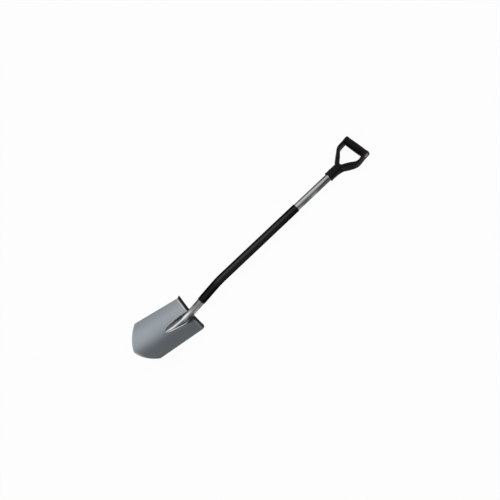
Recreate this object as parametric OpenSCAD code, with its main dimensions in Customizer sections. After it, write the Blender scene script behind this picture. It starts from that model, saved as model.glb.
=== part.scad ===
// A long garden spade: a dished, bluntly pointed blade with folded treads, a cranked steel
// tube with a plastic sleeve, and a D-shaped handle with a soft grip.
// It lies on its back. +X runs from the blade to the handle, +Z is up, and the origin is on
// the floor under the middle of its length. Sizes are in millimetres.

/* [Blade] */
// Width across the top of the blade
blade_top_w = 192; // [175:1:205]
// Width across the lower corners
blade_low_w = 202; // [180:1:215]
// Length from the top of the treads to the lower corners
blade_side_len = 216; // [190:1:240]
// Length from the top of the treads to the tip
blade_len = 283; // [262:1:310]
// Radius of the two curved edges that meet in the tip
point_r = 195; // [185:5:300]
// Radius of the dish across the blade
dish_r = 260; // [220:5:400]
// Thickness of the blade plate
plate_t = 2; // [1.5:0.1:3]
// Inside radius of the fold under the treads
fold_r = 9; // [7:0.5:11]
// Reach of the treads in front of the back of the blade
tread_reach = 18; // [16:0.5:26]
// Radius of the outer front corners of the treads
tread_corner_r = 8; // [3:0.5:9]
// Height of the treads above the bend of the tube
tread_rise = 1; // [0:0.5:5]
// Gap on each side of the tube where it passes the treads
notch_gap = 1.5; // [0.5:0.1:4]
// Slope of each side of that notch, from the tube outwards
notch_slope = 32; // [10:1:45]

/* [Shaft] */
// Outside diameter of the tube
tube_d = 32; // [28:0.5:35]
// Wall of the tube
tube_wall = 1.3; // [1:0.1:2]
// Length of the upper run, from the crank to the handle
upper_run = 636; // [500:1:750]
// Length of the lower run, from the crank to the treads
lower_run = 176; // [165:1:230]
// Angle of the crank
crank_angle = 11.5; // [6:0.5:16]
// Bend radius of the crank
crank_r = 300; // [200:10:400]
// Angle between the blade and the upper run
blade_angle = 21; // [12:0.5:26]
// Bend radius where the tube meets the blade
neck_r = 70; // [65:5:120]
// Length from the top of the treads to the end of the flattened tongue
tongue_len = 128; // [105:1:150]
// Extra half width of the tongue at its middle
tongue_spread = 4.5; // [1:0.5:6]
// Half width of the tongue where the rounding of its end begins
tongue_tip_half = 10; // [7:0.5:12]
// Height of the tongue at its end
tongue_tip_h = 5; // [4:0.5:9]
// Height of the widest line of the tongue near its end
tongue_tip_c = 1.9; // [1.7:0.1:2.4]
// Sharpness of the rounding at the end of the tongue
tongue_round = 5; // [4:1:10]
// Speed at which the tongue loses height along its length, 1 for an even slope
tongue_drop = 2; // [1:0.1:2.5]
// Gap left under the tongue for the weld
seat_gap = 0.1; // [0.05:0.05:0.4]

/* [Weld] */
// Width of the weld bead on the blade
bead_w = 4; // [2.5:0.5:6]
// Height of the weld bead on the tongue
bead_h = 3.5; // [2:0.5:5]
// Hairline between the bead and the pieces that it joins
bead_gap = 0.08; // [0.05:0.01:0.2]
// Part of the tongue, from its root, that has no bead
bead_start = 0.06; // [0.02:0.02:0.4]

/* [Sleeve] */
// Wall of the sleeve
sleeve_wall = 2; // [1.2:0.1:3]
// Length of the sleeve above the crank
sleeve_up = 448; // [200:1:480]
// Length of the sleeve below the crank
sleeve_down = 110; // [60:1:115]
// Clearance round the tube in the sleeve and in the handle
fit_gap = 0.15; // [0.05:0.05:0.3]

/* [Handle] */
// Wall of the handle socket
socket_wall = 3.8; // [2.5:0.1:5]
// Length of the handle socket
socket_len = 52; // [44:1:70]
// Rounding of the closed end of the socket
socket_round = 11; // [6:0.5:14]
// Material between the end of the tube and the end of the socket
socket_end = 6; // [4:0.5:10]
// Forward tilt of the D against the tube
handle_tilt = 11.5; // [0:0.5:14]
// Distance from the end of the socket to the crossbar
bar_reach = 116; // [110:1:124]
// Clear width between the arms
hand_gap_w = 102; // [92:1:104]
// Thickness of an arm beside the crossbar
arm_w = 12; // [11:0.5:14]
// Depth of an arm beside the crossbar, from front to back
arm_depth = 33; // [26:0.5:34]
// Thickness of an arm at the fork
fork_w = 18.5; // [18:0.5:22]
// Depth of an arm at the fork
fork_depth = 36; // [32:0.5:38]
// Turn of an arm's section at the fork, which brings its front edge inwards
fork_turn = 34; // [10:1:36]
// Squareness of an arm's section, from 2 for an ellipse
arm_square = 3; // [2:0.1:3.4]
// Angle of the lower part of an arm against the handle's axis
arm_angle = 40; // [38:1:45]
// Bend radius of an arm at its centre line
arm_bend_r = 41; // [36:1:50]
// Length of the straight part of an arm, from its bend to the crossbar
arm_end = 32; // [24:1:36]
// Lean of that part towards the middle of the crossbar
arm_toe = 3.5; // [0:0.5:8]
// Radius of the crotch between the arms
crotch_r = 6; // [5.5:0.5:9]

/* [Crossbar] */
// Width across the bosses at the ends of the crossbar
boss_d = 35; // [33:0.5:40]
// Corner radius of the bosses
boss_corner_r = 10; // [6:0.5:16]
// Diameter of the hard core under the grip
core_d = 27; // [24:0.5:29]
// Diameter of the bore through the crossbar
core_bore_d = 18; // [12:0.5:19]
// Step down from the bosses to the ends of the grip
grip_step = 0.4; // [0:0.1:1.5]
// Palm swell of the grip at its middle
grip_swell = 1; // [0.5:0.1:2]
// Clearance between the grip and the handle
grip_gap = 0.1; // [0.05:0.05:0.3]
// Diameter of the head of an end plug
cap_d = 20.5; // [20:0.5:24]
// Thickness of the head of an end plug
cap_t = 2.5; // [1.5:0.1:4]
// Length of the stem of an end plug
cap_stem = 9; // [5:0.5:14]
// Wall of the hollow stem of an end plug
cap_wall = 1.6; // [1:0.1:2.5]
// Clearance round an end plug
cap_gap = 0.12; // [0.05:0.01:0.3]

/* [Screw] */
// Diameter of the screw's shank
screw_d = 4.2; // [3.5:0.1:5]
// Diameter of the screw's countersunk head
screw_head_d = 8; // [7:0.1:9]
// Length of the screw
screw_len = 13; // [9:0.5:16]
// Depth of the head under the surface of the socket
screw_sink = 0.4; // [0.3:0.1:0.6]
// Distance of the screw from the open end of the socket
screw_at = 24; // [14:1:34]
// Width of the cross recess in the head
recess_w = 1.1; // [0.8:0.1:1.4]
// Span of the cross recess in the head
recess_span = 4.6; // [3:0.1:5]
// Depth of the cross recess in the head
recess_deep = 1.3; // [0.8:0.1:1.8]
// Clearance round the screw
screw_gap = 0.1; // [0.05:0.05:0.2]

/* [Hidden] */
$fn = 128;
past = 1;
join_step = 0.1;
join_turn = 0.4;
tube_r = tube_d / 2;
plate_half = plate_t / 2;
fold_out_r = fold_r + plate_t;

// Side view of the tube: the crank is at [0, 0] and the upper run lies along X.
crank_run = crank_r * tan(crank_angle / 2);
neck_turn = crank_angle + blade_angle;
neck_run = neck_r * tan(neck_turn / 2);
down_dir = [-cos(crank_angle), -sin(crank_angle)];
tip_dir = [-cos(blade_angle), sin(blade_angle)];
front_dir = [sin(blade_angle), cos(blade_angle)];
neck_at = lower_run * down_dir;
neck_low = neck_at + neck_run * tip_dir;
neck_centre = neck_low + neck_r * front_dir;
tongue_base = plate_half + seat_gap;
blade_at = neck_at - (tongue_base + tube_r) * front_dir - tread_rise * tip_dir;

// Blade outline and dish
point_a = [-blade_side_len, blade_low_w / 2];
point_b = [-blade_len, 0];
point_chord = norm(point_b - point_a);
point_in = [point_a[1], blade_len - blade_side_len] / point_chord;
point_back = sqrt(point_r * point_r - point_chord * point_chord / 4);
point_c = (point_a + point_b) / 2 + point_back * [point_in[0], -point_in[1]];
dish_spare = 4;
dish_half = asin(blade_low_w / 2 / (dish_r - tread_reach)) + dish_spare;
dish_rise = dish_r - sqrt(dish_r * dish_r - blade_low_w * blade_low_w / 4);

// Tongue and bead
tongue_root = tread_rise + neck_run;
tongue_inset = 0.4;
tongue_sides = 32;
tongue_steps = 16;
tongue_last = 0.99;
tongue_hollow = 0.78;
bead_steps = 22;
bead_probe = 0.004;
bead_belly = 0.75;

// Sleeve
sleeve_in = tube_r + fit_gap;
sleeve_out = sleeve_in + sleeve_wall;

// Handle
socket_r = tube_r + fit_gap + socket_wall;
tube_end = socket_len - socket_end;
arm_y = hand_gap_w / 2 + arm_w / 2;
arm_sides = 24;
arm_steps = 20;
arm_bend_rise = arm_bend_r * (sin(arm_angle) + sin(arm_toe));
arm_bend_out = arm_bend_r * (cos(arm_toe) - cos(arm_angle));
arm_low_x = bar_reach - arm_end * cos(arm_toe) - arm_bend_rise;
arm_low_y = arm_y + arm_end * sin(arm_toe) - arm_bend_out;
fork_r = crotch_r + fork_w / 2;
fork_x = arm_low_x - arm_low_y / tan(arm_angle) + fork_r / sin(arm_angle);
fork_len = fork_r * (90 - arm_angle) * PI / 180;
arm_low_len = (arm_low_y - fork_r * cos(arm_angle)) / sin(arm_angle);
arm_bend_len = arm_bend_r * (arm_angle + arm_toe) * PI / 180;
arm_len = fork_len + arm_low_len + arm_bend_len + arm_end;
ease_from = fork_len / 2;
ease_len = arm_len - arm_end - ease_from;
bar_half = hand_gap_w / 2 + arm_w;
grip_r = boss_d / 2 - grip_step;
grip_half = hand_gap_w / 2 - grip_gap;
swell_steps = 16;
stem_d = core_bore_d - 2 * cap_gap;
screw_cone = (screw_head_d - screw_d) / 2;

// Lying on its back: the fold of the blade and the end of the socket touch the floor.
heel_c = blade_at + fold_out_r * tip_dir + (fold_r + plate_half) * front_dir;
rest_at = [upper_run + socket_len, -socket_r];
rest_to_heel = heel_c - rest_at;
rest_dist = norm(rest_to_heel);
lie = atan2(-rest_to_heel[1], -rest_to_heel[0]) + asin(fold_out_r / rest_dist);
tip_at = blade_at + blade_len * tip_dir - plate_half * front_dir;
bar_tilt_dir = [cos(handle_tilt), sin(handle_tilt)];
bar_at = [upper_run + socket_len, 0] + bar_reach * bar_tilt_dir;
bar_r = max(boss_d / 2, grip_r + grip_swell);
lie_x = [cos(lie), sin(lie)];
lie_z = [-sin(lie), cos(lie)];
middle_x = (tip_at * lie_x + bar_at * lie_x + bar_r) / 2;
floor_z = rest_at * lie_z;

module lay_down() {
    translate([-middle_x, 0, -floor_z])
        rotate([0, lie, 0])
            children();
}

// Blade frame: X runs up the blade to the treads and Z points out of its hollow side.
module on_blade() {
    translate([blade_at[0], 0, blade_at[1]])
        rotate([0, blade_angle, 0])
            children();
}

// Handle frame: X runs from the end of the socket to the crossbar.
module on_handle() {
    translate([upper_run + socket_len, 0, 0])
        rotate([0, -handle_tilt, 0])
            children();
}

// A straight round bar in the side view, from a point along an angle.
module bar(from, angle, length, r) {
    translate([from[0], 0, from[1]])
        rotate([0, 90 - angle, 0])
            cylinder(h = length, r = r);
}

// A round bend in the side view about a centre, from one angle through a turn.
// It is a hair thinner than the straight runs and reaches a little way into both.
module bend(centre, bend_r, start, turn, r) {
    translate([centre[0], 0, centre[1]])
        rotate([0, join_turn - start, 0])
            rotate([90, 0, 0])
                rotate_extrude(angle = turn + 2 * join_turn)
                    translate([bend_r, 0])
                        circle(r = r - join_step);
}

// The upper run with the crank.
module upper_tube(r, from, to) {
    bar([from, 0], 0, to - from, r);
}

module crank_bend(r) {
    bend([crank_run, -crank_r], crank_r, 90, crank_angle, r);
}

module lower_tube(r, from, to) {
    bar(to * down_dir, crank_angle, to - from, r);
}

module neck_bend(r) {
    bend(neck_centre, neck_r, 270 - blade_angle, neck_turn, r);
}

// Tongue sections: two half ellipses on a common widest line, along a run of 0 to 1.
function tongue_x(q) = -(tongue_root + (tongue_len - tongue_root) * q);
function tongue_taper(q) = tube_r + (tongue_tip_half - tube_r) * q + 4 * tongue_spread * q * (1 - q);
function tongue_half(q) = tongue_taper(q) * sqrt(1 - pow(q, tongue_round));
function tongue_high(q) = tongue_tip_h + (tube_d - tongue_tip_h) * pow(1 - q, tongue_drop);
function tongue_wide(q) = tongue_tip_c + (tube_r - tongue_tip_c) * pow(1 - q, 3);
function tongue_ring(q, wall) = [
    for (i = [0 : tongue_sides - 1])
        let (a = 360 * i / tongue_sides)
        let (up = tongue_high(q) - tongue_wide(q) - wall)
        let (down = tongue_wide(q) - wall)
        [
            tongue_x(q),
            (tongue_half(q) - wall) * cos(a),
            tongue_base + tongue_wide(q) + (sin(a) >= 0 ? up : down) * sin(a)
        ]
];

// A closed skin over a row of rings with the same number of points.
module skin(rings) {
    n = len(rings[0]);
    m = len(rings);
    sides = [
        for (k = [0 : m - 2])
            for (i = [0 : n - 1])
                let (j = (i + 1) % n)
                each [
                    [k * n + i, k * n + j, (k + 1) * n + j],
                    [k * n + i, (k + 1) * n + j, (k + 1) * n + i]
                ]
    ];
    first = [for (i = [0 : n - 1]) n - 1 - i];
    last = [for (i = [0 : n - 1]) (m - 1) * n + i];
    polyhedron(points = [for (ring = rings) each ring], faces = concat([first, last], sides));
}

module tongue(wall, end) {
    runs = [for (k = [0 : tongue_steps]) end * sin(90 * k / tongue_steps)];
    skin([for (q = runs) tongue_ring(q, wall + (q == 0 ? tongue_inset : 0))]);
}

// Weld bead: a low wedge that follows the edge of the tongue down one side and up the other.
function bead_top(q) = min(bead_h, tongue_wide(q));
function bead_in(q) =
    let (drop = (tongue_wide(q) - bead_top(q)) / tongue_wide(q))
    tongue_half(q) * sqrt(1 - drop * drop);
function bead_point(q, side) = [tongue_x(q), side * bead_in(q)];
function bead_out(q, side) =
    let (d = bead_point(q + bead_probe, side) - bead_point(q - bead_probe, side))
    [d[1], -d[0]] * side / norm(d);
function dish_z(y) = dish_r - sqrt(pow(dish_r - plate_half, 2) - y * y);
function bead_ring(q, side) =
    let (a = bead_point(q, side) + bead_gap * bead_out(q, side))
    let (b = bead_point(q, side) + bead_w * bead_out(q, side))
    [
        [a[0], a[1], dish_z(a[1]) + bead_gap],
        [b[0], b[1], dish_z(b[1]) + bead_gap],
        [(a[0] + b[0]) / 2, (a[1] + b[1]) / 2, tongue_base + bead_belly * bead_top(q)],
        [a[0], a[1], tongue_base + bead_top(q)]
    ];

module blade_outline() {
    low = blade_len + past;
    slope = (blade_low_w - blade_top_w) / 2 / (blade_side_len + past);
    low_half = blade_top_w / 2 + slope * (low + past);
    intersection() {
        polygon([
            [past, -blade_top_w / 2],
            [past, blade_top_w / 2],
            [-low, low_half],
            [-low, -low_half]
        ]);
        translate(point_c)
            circle(r = point_r);
        translate([point_c[0], -point_c[1]])
            circle(r = point_r);
    }
}

// Section of the plate and its fold: radius from the dish axis across, up the blade along.
module fold_section() {
    back = dish_r + plate_half;
    translate([back - plate_t, -blade_len - past])
        square([plate_t, blade_len + past - fold_out_r]);
    translate([back - tread_reach, -plate_t])
        square([tread_reach - fold_out_r, plate_t]);
    translate([back - fold_out_r, -fold_out_r])
        intersection() {
            square(fold_out_r);
            difference() {
                circle(r = fold_out_r);
                circle(r = fold_r);
            }
        }
}

module tread_corner() {
    front = dish_r - sqrt(pow(dish_r + plate_half - tread_reach, 2) - pow(blade_top_w / 2, 2));
    translate([-fold_r, blade_top_w / 2 - tread_corner_r, front - tread_corner_r])
        rotate([0, 90, 0])
            difference() {
                translate([-2 * tread_corner_r, 0, 0])
                    cube([2 * tread_corner_r, 2 * tread_corner_r, fold_r + past]);
                translate([0, 0, -past])
                    cylinder(h = fold_r + 3 * past, r = tread_corner_r);
            }
}

module tread_notch() {
    top = tread_reach + past;
    half = tube_r + notch_gap;
    splay = (top - fold_r) * tan(notch_slope);
    translate([-fold_r, 0, 0])
        rotate([90, 0, 90])
            linear_extrude(height = fold_r + past)
                polygon([
                    [-half, fold_r],
                    [half, fold_r],
                    [half + splay, top],
                    [-half - splay, top]
                ]);
}

module blade() {
    color("LightSlateGray")
        lay_down()
            difference() {
                on_blade()
                    difference() {
                        intersection() {
                            translate([0, 0, dish_r])
                                rotate([0, 90, 0])
                                    rotate([0, 0, -dish_half])
                                        rotate_extrude(angle = 2 * dish_half)
                                            fold_section();
                            translate([0, 0, -past - plate_t])
                                linear_extrude(height = dish_rise + 2 * tread_reach)
                                    blade_outline();
                        }
                        tread_corner();
                        mirror([0, 1, 0])
                            tread_corner();
                        tread_notch();
                    }
                neck_bend(tube_r + notch_gap);
            }
}

module shaft_tube() {
    bore_r = tube_r - tube_wall;
    color("Silver")
        lay_down()
            difference() {
                union() {
                    upper_tube(tube_r, crank_run, upper_run + tube_end);
                    crank_bend(tube_r);
                    lower_tube(tube_r, crank_run, lower_run - neck_run);
                    neck_bend(tube_r);
                    on_blade()
                        tongue(0, tongue_last);
                }
                upper_tube(bore_r, crank_run, upper_run + tube_end + past);
                crank_bend(bore_r);
                lower_tube(bore_r, crank_run, lower_run - neck_run);
                neck_bend(bore_r);
                on_blade()
                    tongue(tube_wall, tongue_hollow);
                screw_hole();
            }
}

module weld_seam() {
    reach = tongue_last - bead_start;
    down = [for (k = [0 : bead_steps]) bead_start + reach * sin(90 * k / bead_steps)];
    up = [for (k = [1 : bead_steps]) down[bead_steps - k]];
    color("DimGray")
        lay_down()
            on_blade()
                skin(concat([for (q = down) bead_ring(q, 1)], [for (q = up) bead_ring(q, -1)]));
}

module shaft_sleeve() {
    color("Black")
        lay_down()
            difference() {
                union() {
                    upper_tube(sleeve_out, crank_run, sleeve_up);
                    crank_bend(sleeve_out);
                    lower_tube(sleeve_out, crank_run, sleeve_down);
                }
                upper_tube(sleeve_in, crank_run, sleeve_up + past);
                crank_bend(sleeve_in);
                lower_tube(sleeve_in, crank_run, sleeve_down + past);
            }
}

// Fork and arms: one rounded section carried round the U, by the distance from its middle.
function run_part(l, from, length) = min(length, max(0, l - from));
function fork_heading(l) = 90 - (90 - arm_angle) * run_part(l, 0, fork_len) / fork_len;
function bend_turned(l) = run_part(l, fork_len + arm_low_len, arm_bend_len) / arm_bend_len;
function bend_heading(l) = arm_angle - (arm_angle + arm_toe) * bend_turned(l);
function arm_at(l) =
    let (f = fork_heading(l))
    let (b = bend_heading(l))
    let (low = run_part(l, fork_len, arm_low_len))
    let (end = run_part(l, arm_len - arm_end, arm_end))
    [fork_x, 0]
    + fork_r * [-sin(f), cos(f)]
    + low * [cos(arm_angle), sin(arm_angle)]
    + arm_bend_r * [sin(arm_angle) - sin(b), cos(b) - cos(arm_angle)]
    + end * [cos(arm_toe), -sin(arm_toe)];
function arm_mix(from, to, l) =
    let (part = run_part(l, ease_from, ease_len) / ease_len)
    to + (from - to) * (1 + cos(180 * part)) / 2;
function squared(v) = sign(v) * pow(abs(v), 2 / arm_square);
function arm_ring(l, side) =
    let (at = arm_at(l))
    let (phi = fork_heading(l) + bend_heading(l) - arm_angle)
    let (turn = arm_mix(fork_turn, 0, l))
    let (w = arm_mix(fork_w, arm_w, l) / 2)
    let (d = arm_mix(fork_depth, arm_depth, l) / 2)
    [
        for (i = [0 : arm_sides - 1])
            let (a = 360 * (i + 0.5) / arm_sides)
            let (p = [w * squared(cos(a)), d * squared(sin(a))])
            let (out = p[0] * cos(turn) - p[1] * sin(turn))
            let (front = p[0] * sin(turn) + p[1] * cos(turn))
            [at[0] - out * sin(phi), side * (at[1] + out * cos(phi)), front]
    ];

module arms() {
    runs = [for (k = [-arm_steps : arm_steps]) -arm_len * k / arm_steps];
    skin([for (l = runs) arm_ring(abs(l), l < 0 ? -1 : 1)]);
}

module socket_body() {
    flat_r = socket_r - socket_round;
    translate([upper_run, 0, 0])
        rotate([0, 90, 0])
            rotate_extrude() {
                square([socket_r, socket_len]);
                square([flat_r, socket_len + socket_round]);
                translate([flat_r, socket_len])
                    intersection() {
                        square(socket_round);
                        circle(r = socket_round);
                    }
            }
}

module across(d, half) {
    translate([bar_reach, -half, 0])
        rotate([-90, 0, 0])
            cylinder(h = 2 * half, d = d);
}

module boss(side) {
    flat = boss_d - 2 * boss_corner_r;
    translate([bar_reach, side > 0 ? bar_half : -hand_gap_w / 2, 0])
        rotate([90, 0, 0])
            linear_extrude(height = arm_w) {
                square([boss_d, flat], center = true);
                square([flat, boss_d], center = true);
                for (x = [-1, 1])
                    for (y = [-1, 1])
                        translate([x * flat / 2, y * flat / 2])
                            circle(r = boss_corner_r);
            }
}

module cap_seat() {
    translate([bar_reach, bar_half - cap_t, 0])
        rotate([-90, 0, 0])
            cylinder(h = cap_t + past, d = cap_d + 2 * cap_gap);
}

// The screw stands on the back of the socket and points to the axis of the tube.
module at_screw() {
    translate([upper_run + screw_at, 0, -socket_r + screw_sink])
        children();
}

module screw_hole() {
    at_screw() {
        translate([0, 0, -screw_sink - past])
            cylinder(h = screw_sink + past + screw_gap, d = screw_head_d + 2 * screw_gap);
        translate([0, 0, screw_gap])
            cylinder(h = screw_cone, d1 = screw_head_d + 2 * screw_gap, d2 = screw_d + 2 * screw_gap);
        cylinder(h = socket_r - screw_sink, d = screw_d + 2 * screw_gap);
    }
}

module handle_yoke() {
    color("#151515")
        lay_down()
            difference() {
                union() {
                    socket_body();
                    on_handle() {
                        arms();
                        boss(1);
                        boss(-1);
                        across(core_d, hand_gap_w / 2 + arm_w / 2);
                    }
                }
                upper_tube(tube_r + fit_gap, upper_run - past, upper_run + tube_end);
                on_handle() {
                    across(core_bore_d, bar_half + past);
                    cap_seat();
                    mirror([0, 1, 0])
                        cap_seat();
                }
                screw_hole();
            }
}

// Outline of the grip, with its palm swell, along a run of -1 to 1.
function swell_point(t) = [grip_r + grip_swell * (1 - t * t), grip_half * t];

module crossbar_grip() {
    color("#202020")
        lay_down()
            on_handle()
                translate([bar_reach, 0, 0])
                    rotate([90, 0, 0])
                        rotate_extrude()
                            polygon(concat(
                                [[core_d / 2 + grip_gap, -grip_half]],
                                [for (k = [0 : swell_steps]) swell_point(2 * k / swell_steps - 1)],
                                [[core_d / 2 + grip_gap, grip_half]]
                            ));
}

module grip_cap() {
    translate([bar_reach, bar_half, 0])
        rotate([90, 0, 0])
            difference() {
                union() {
                    cylinder(h = cap_t, d = cap_d);
                    cylinder(h = cap_t + cap_stem, d = stem_d);
                }
                translate([0, 0, cap_t])
                    cylinder(h = cap_stem + past, d = stem_d - 2 * cap_wall);
            }
}

module grip_cap_left() {
    color("IndianRed")
        lay_down()
            on_handle()
                grip_cap();
}

module grip_cap_right() {
    color("IndianRed")
        lay_down()
            on_handle()
                mirror([0, 1, 0])
                    grip_cap();
}

module handle_screw() {
    color("Gray")
        lay_down()
            at_screw()
                difference() {
                    union() {
                        cylinder(h = screw_cone, d1 = screw_head_d, d2 = screw_d);
                        cylinder(h = screw_len, d = screw_d);
                    }
                    for (turn = [0, 90])
                        rotate([0, 0, turn])
                            translate([-recess_span / 2, -recess_w / 2, -past])
                                cube([recess_span, recess_w, recess_deep + past]);
                }
}

blade();
shaft_tube();
weld_seam();
shaft_sleeve();
handle_yoke();
crossbar_grip();
grip_cap_left();
grip_cap_right();
handle_screw();
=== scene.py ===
# %% [markdown]
# # A garden spade, dressed from its own measurements
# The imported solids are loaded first, as a fixed frame. Every piece below is worked out again as
# a smooth surface from the same sizes, so it lands exactly where its solid is.

# %% Load the frame
import bmesh
import bpy
import numpy as np
from mathutils import Matrix


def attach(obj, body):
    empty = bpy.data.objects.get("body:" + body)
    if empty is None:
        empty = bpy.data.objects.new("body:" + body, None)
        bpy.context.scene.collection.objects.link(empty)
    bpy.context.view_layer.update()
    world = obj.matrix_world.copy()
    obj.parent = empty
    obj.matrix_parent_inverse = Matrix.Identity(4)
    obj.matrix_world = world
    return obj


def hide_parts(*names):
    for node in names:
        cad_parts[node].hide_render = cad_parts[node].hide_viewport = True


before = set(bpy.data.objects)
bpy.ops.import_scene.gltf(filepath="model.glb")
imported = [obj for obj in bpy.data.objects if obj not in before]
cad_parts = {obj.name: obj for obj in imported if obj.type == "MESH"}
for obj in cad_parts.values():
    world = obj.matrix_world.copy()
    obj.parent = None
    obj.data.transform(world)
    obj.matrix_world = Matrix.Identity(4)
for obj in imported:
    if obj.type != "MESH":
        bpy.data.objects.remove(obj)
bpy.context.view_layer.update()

# %% [markdown]
# ## Sizes
# The spade is drawn in a tool frame, in millimetres: the crank of the tube is the origin, the
# upper tube runs along X and Z points out of the hollow side of the blade. A side view in X and Z
# is all that the tube needs. At the end one turn and one shift lay the whole tool on its back,
# where it touches the floor with the fold of the blade and with the socket of the handle.

# %% Sizes in millimetres, angles in radians
tube_r, upper_run, lower_run = 16.0, 636.0, 176.0
crank_angle, crank_r, blade_angle = np.radians(11.5), 300.0, np.radians(21.0)
plate_t, fold_r, tread_reach, tread_rise, seat_gap = 2.0, 9.0, 18.0, 1.0, 0.1
socket_r, socket_len, handle_tilt, bar_reach = 19.95, 52.0, np.radians(11.5), 116.0
blade_len, grip_r, grip_swell = 283.0, 17.1, 1.0

plate_half, fold_out_r = plate_t / 2, fold_r + plate_t
crank_run = crank_r * np.tan(crank_angle / 2)
neck_turn = crank_angle + blade_angle
down_dir = np.array([-np.cos(crank_angle), -np.sin(crank_angle)])
tip_dir = np.array([-np.cos(blade_angle), np.sin(blade_angle)])
front_dir = np.array([np.sin(blade_angle), np.cos(blade_angle)])
neck_at = lower_run * down_dir
tongue_base = plate_half + seat_gap
blade_at = neck_at - (tongue_base + tube_r) * front_dir - tread_rise * tip_dir
print("blade starts at", blade_at.round(1), "and turns", np.degrees(neck_turn).round(1),
      "degrees from the tube")

# %% Lay the tool on its back
fold_at = blade_at + fold_out_r * tip_dir + (fold_r + plate_half) * front_dir
rest_at = np.array([upper_run + socket_len, -socket_r])
span = fold_at - rest_at
lie = np.arctan2(-span[1], -span[0]) + np.arcsin(fold_out_r / np.hypot(*span))
lie_x, lie_z = np.array([np.cos(lie), np.sin(lie)]), np.array([-np.sin(lie), np.cos(lie)])
tip_at = blade_at + blade_len * tip_dir - plate_half * front_dir
bar_dir = np.array([np.cos(handle_tilt), np.sin(handle_tilt)])
bar_at = np.array([upper_run + socket_len, 0]) + bar_reach * bar_dir
middle_x = (tip_at @ lie_x + bar_at @ lie_x + grip_r + grip_swell) / 2
floor_z = rest_at @ lie_z


def to_row(p):
    """Tool frame in millimetres to the row frame in metres: turned by the lying angle about Y,
    then shifted."""
    x, y, z = p[..., 0], p[..., 1], p[..., 2]
    along = x * lie_x[0] + z * lie_x[1] - middle_x
    high = x * lie_z[0] + z * lie_z[1] - floor_z
    return np.stack([along, y, high], -1) / 1000


def from_blade(x, y, z):
    """Blade frame to tool frame: X up the blade to the treads, Z out of its hollow side."""
    x, y, z = np.broadcast_arrays(x, y, z)
    along = blade_at[0] - x * tip_dir[0] + z * front_dir[0]
    high = blade_at[1] - x * tip_dir[1] + z * front_dir[1]
    return np.stack([along, y, high], -1)


def row_to_blade(p):
    """Row frame to blade frame, both in millimetres: the lying turn and the blade's own turn
    undone."""
    x = (p[:, 0] + middle_x) * lie_x[0] + (p[:, 2] + floor_z) * lie_z[0] - blade_at[0]
    z = (p[:, 0] + middle_x) * lie_x[1] + (p[:, 2] + floor_z) * lie_z[1] - blade_at[1]
    return -x * tip_dir[0] - z * tip_dir[1], p[:, 1], x * front_dir[0] + z * front_dir[1]


def from_handle(x, y, z):
    """Handle frame to tool frame: X from the end of the socket to the crossbar, tilted forward."""
    x, y, z = np.broadcast_arrays(x, y, z)
    c, s = bar_dir
    return np.stack([upper_run + socket_len + x * c - z * s, y, x * s + z * c], -1)


print("lying angle", np.degrees(lie).round(3), "middle", middle_x.round(2),
      "floor", floor_z.round(2))

# %% [markdown]
# ## From grids of points to pieces
# Each surface is a grid of points. Neighbouring rows and columns span the quads. Where a grid ends
# in a pole or folds onto itself, its points coincide, so merging doubles closes the skin, and then
# the faces are turned outwards.

# %% Mesh helpers
merge_gap, sliver = 3e-6, 1e-7


def quarter(count):
    """Even angles over a quarter turn."""
    return np.linspace(0, np.pi / 2, count)


def full_turn(count):
    """Even angles over a full turn, as one row, without the last that meets the first."""
    return np.linspace(0, 2 * np.pi, count, endpoint=False)[None, :]


def grid_quads(rows, cols, around):
    """Corner numbers of every quad of a grid; around also joins the last column to the first."""
    i = np.arange(rows - 1)[:, None] * cols
    j = np.arange(cols if around else cols - 1)[None, :]
    k = (j + 1) % cols
    return np.stack([i + j, i + k, i + cols + k, i + cols + j], -1).reshape(-1, 4)


def capped(rows):
    """Closes a row of rings at both ends, each with a ring that is shrunk to its middle."""
    first, last = (np.repeat(r.mean(0)[None, None, :], rows.shape[1], 1) for r in rows[[0, -1]])
    return np.concatenate([first, rows, last])


def make_piece(name, grids, node, finish, sharp=40, around=True):
    """Joins tool-frame grids into one closed mesh that stands for a CAD node."""
    points, quads, start = [], [], 0
    for grid in grids:
        rows, cols = grid.shape[:2]
        points.append(to_row(grid).reshape(-1, 3))
        quads.append(grid_quads(rows, cols, around) + start)
        start += rows * cols
    mesh = bpy.data.meshes.new(name)
    mesh.from_pydata(np.concatenate(points), [], np.concatenate(quads))
    shell = bmesh.new()
    shell.from_mesh(mesh)
    bmesh.ops.remove_doubles(shell, verts=shell.verts, dist=merge_gap)
    bmesh.ops.dissolve_degenerate(shell, edges=shell.edges, dist=sliver)
    bmesh.ops.recalc_face_normals(shell, faces=shell.faces)
    open_edges = sum(1 for e in shell.edges if len(e.link_faces) != 2)
    shell.to_mesh(mesh)
    shell.free()
    mesh.polygons.foreach_set("use_smooth", np.ones(len(mesh.polygons), bool))
    mesh.set_sharp_from_angle(angle=np.radians(sharp))
    mesh.materials.append(finish)
    piece = bpy.data.objects.new(name, mesh)
    bpy.context.scene.collection.objects.link(piece)
    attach(piece, "root")
    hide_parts(node)
    print(name, "faces", len(mesh.polygons), "open edges", open_edges)
    return piece


print("a grid of 3 by 4 points has", len(grid_quads(3, 4, False)), "quads, closed round it has",
      len(grid_quads(3, 4, True)))

# %% [markdown]
# ## Camera
# The view is from above and from the tool's right side, with a normal lens. The place and the
# turn come from matching the solids to known points of the real view.

# %% Camera
sensor_mm, focal_px, frame_px = 36.0, 559.85, 500.0


def turn_row(v):
    """Turns a tool-frame direction into the row frame."""
    return np.array([v[0] * lie_x[0] + v[2] * lie_x[1], v[1], v[0] * lie_z[0] + v[2] * lie_z[1]])


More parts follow.
